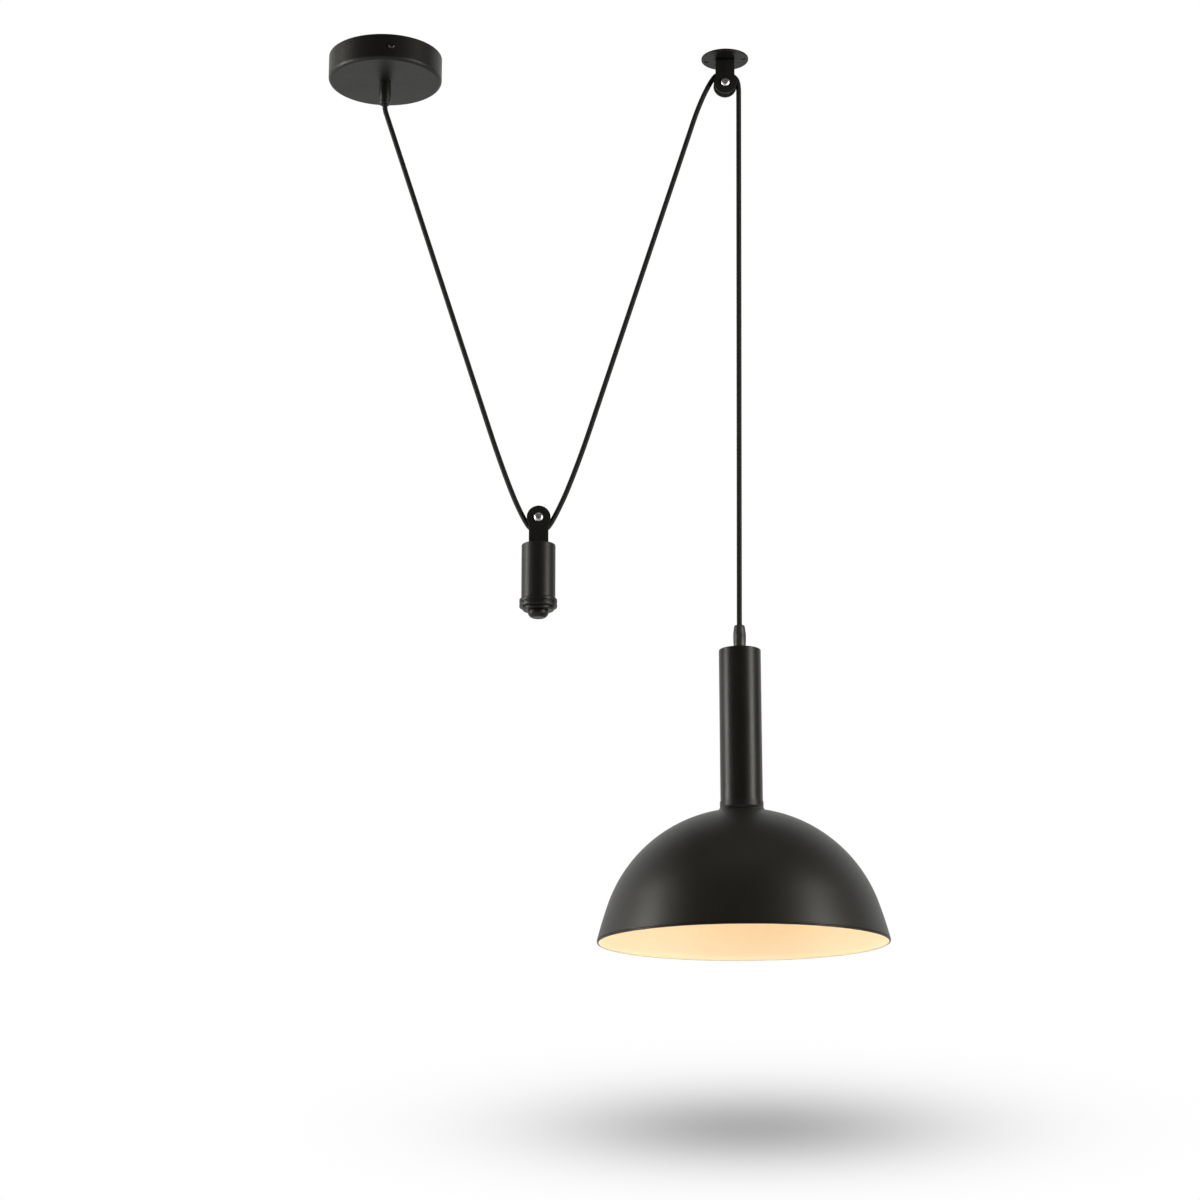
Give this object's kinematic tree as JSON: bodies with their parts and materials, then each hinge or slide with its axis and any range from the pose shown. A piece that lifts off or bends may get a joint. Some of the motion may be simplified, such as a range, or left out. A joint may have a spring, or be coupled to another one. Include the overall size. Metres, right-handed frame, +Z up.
{
  "type": "rise and fall pendant",
  "caption": "Rise and fall pendant lamp: a dome shade under a tube hangs on one cord that runs over a ceiling pulley and under a counterweight's pulley to a round canopy.",
  "frame": {"origin": "middle of the canopy on the ceiling, where its bracket is screwed up", "axes": "+Z up, +X from the canopy towards the ceiling pulley, +Y away from the viewer; the whole cord lies in the X-Z plane"},
  "size_m": [0.5969, 0.3, 0.9817],
  "materials": {
    "black_paint": "satin powder coat",
    "painted_aluminium": "satin powder coat, cream inside the shade",
    "zinc_steel": "zinc plated",
    "cord_braid": "black braided sleeve",
    "brown_wire": "smooth insulation",
    "blue_wire": "smooth insulation",
    "green_wire": "smooth insulation",
    "white_plastic": "moulded",
    "brass": "plain",
    "black_plastic": "moulded",
    "porcelain": "glazed",
    "bulb_metal": "plain",
    "opal_glass": "opal"
  },
  "bodies": {
    "ceiling": {"canopy_cup": "black_paint", "mounting_bracket": "zinc_steel", "side_screws": "zinc_steel", "canopy_stem": "zinc_steel", "canopy_stem_nut": "zinc_steel", "canopy_cord_grip": "black_paint", "terminal_block": "white_plastic", "terminal_screws": "brass", "earth_post": "brass", "canopy_live_wire": "brown_wire", "canopy_neutral_wire": "blue_wire", "canopy_earth_wire": "green_wire", "cord_canopy_tail": "cord_braid", "cord_canopy_stretch": "cord_braid", "cord_rising_stretch": "cord_braid", "cord_over_ceiling_wheel": "cord_braid", "ceiling_flange": "black_paint", "ceiling_fork": "black_paint", "fork_rivet": "zinc_steel", "ceiling_axle_screw": "zinc_steel", "ceiling_axle_nut": "zinc_steel", "ceiling_axle_sleeve": "zinc_steel"},
    "ceiling_wheel": {"ceiling_wheel": "black_paint"},
    "weight_hanger": {"weight_axle_screw": "zinc_steel", "weight_axle_nut": "zinc_steel", "weight_axle_sleeve": "zinc_steel", "cord_under_weight_wheel": "cord_braid"},
    "weight_wheel": {"weight_wheel": "black_paint"},
    "counterweight": {"weight_fork": "black_paint", "weight_fork_screw": "zinc_steel", "weight_housing": "black_paint", "weight_core": "zinc_steel", "weight_collar": "black_paint", "weight_end_cap": "black_paint", "weight_knob": "black_paint"},
    "lamp": {"lamp_cord_grip": "black_paint", "lamp_stem": "zinc_steel", "lamp_stem_nut": "zinc_steel", "lamp_tube": "painted_aluminium", "tube_collar": "black_paint", "shade": "painted_aluminium", "shade_ring": "black_plastic", "holder_cap": "black_plastic", "holder_skirt": "black_plastic", "holder_insert": "porcelain", "holder_shell": "brass", "holder_contact": "brass", "cord_lamp_stretch": "cord_braid", "cord_lamp_tail": "cord_braid", "lamp_live_wire": "brown_wire", "lamp_neutral_wire": "blue_wire", "lamp_earth_wire": "green_wire"},
    "bulb": {"bulb_tip": "bulb_metal", "bulb_cap": "bulb_metal", "bulb_neck": "opal_glass", "bulb_globe": "opal_glass"}
  },
  "joints": [
    {"name": "lamp_slide", "type": "slide", "parent": "ceiling", "child": "lamp", "axis": [0, 0, 1], "range_m": [-0.3, 0.35], "deforming": ["cord_lamp_stretch"]},
    {"name": "weight_slide", "type": "slide", "parent": "ceiling", "child": "weight_hanger", "axis": [0, 0, 1], "range_m": [-0.19, 0.163], "deforming": ["cord_canopy_stretch", "cord_rising_stretch"]},
    {"name": "weight_swing", "type": "hinge", "parent": "weight_hanger", "child": "counterweight", "pos_m": [0.1727, 0, -0.5306], "axis": [0, 1, 0], "range_deg": [-12, 12]},
    {"name": "ceiling_wheel_spin", "type": "hinge", "parent": "ceiling", "child": "ceiling_wheel", "pos_m": [0.3762, 0, -0.031], "axis": [0, 1, 0], "range_deg": [-1560, 1340]},
    {"name": "weight_wheel_spin", "type": "hinge", "parent": "weight_hanger", "child": "weight_wheel", "pos_m": [0.1727, 0, -0.5306], "axis": [0, 1, 0], "range_deg": [-670, 780]},
    {"name": "bulb_draw", "type": "slide", "parent": "lamp", "child": "bulb", "axis": [0, 0, -1], "range_m": [0, 0.027]}
  ],
  "couplings": [
    {"joint": "weight_slide", "follows": "lamp_slide", "ratio": -0.535},
    {"joint": "ceiling_wheel_spin", "follows": "lamp_slide", "rad_per_m": -76.923},
    {"joint": "weight_wheel_spin", "follows": "lamp_slide", "rad_per_m": 38.462}
  ]
}
